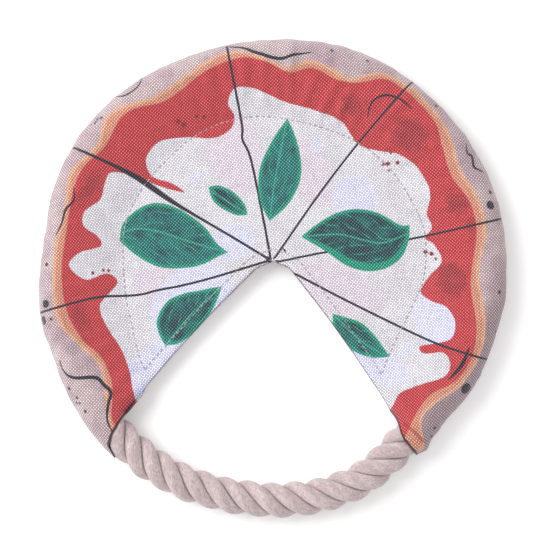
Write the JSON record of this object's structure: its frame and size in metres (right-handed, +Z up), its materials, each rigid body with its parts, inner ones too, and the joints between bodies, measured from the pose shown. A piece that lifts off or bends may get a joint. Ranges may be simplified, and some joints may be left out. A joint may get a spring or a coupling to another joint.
{
  "type": "flying ring",
  "caption": "Soft canvas flying disc with a rope-stiffened rim; a V-shaped slice is left out and the bare rope across it is the handle.",
  "frame": {"origin": "centre of the rim, on the surface that the disc lies on", "axes": "+Z up through the printed side; the missing slice and its rope handle face -Y"},
  "size_m": [0.24, 0.239, 0.0194],
  "materials": {
    "printed_canvas": "matte",
    "plain_canvas": "matte",
    "felt": "matte",
    "cotton_rope": "matte",
    "wrap_tape": "matte",
    "thread": "matte"
  },
  "bodies": {
    "root": {"front_panel": "printed_canvas", "back_panel": "plain_canvas", "core_insert": "felt", "rope_ring": "cotton_rope", "rope_joint_wrap": "wrap_tape", "front_rim_stitches": "thread", "front_left_edge_stitches": "thread", "front_right_edge_stitches": "thread", "back_rim_stitches": "thread", "back_left_edge_stitches": "thread", "back_right_edge_stitches": "thread"}
  },
  "joints": []
}
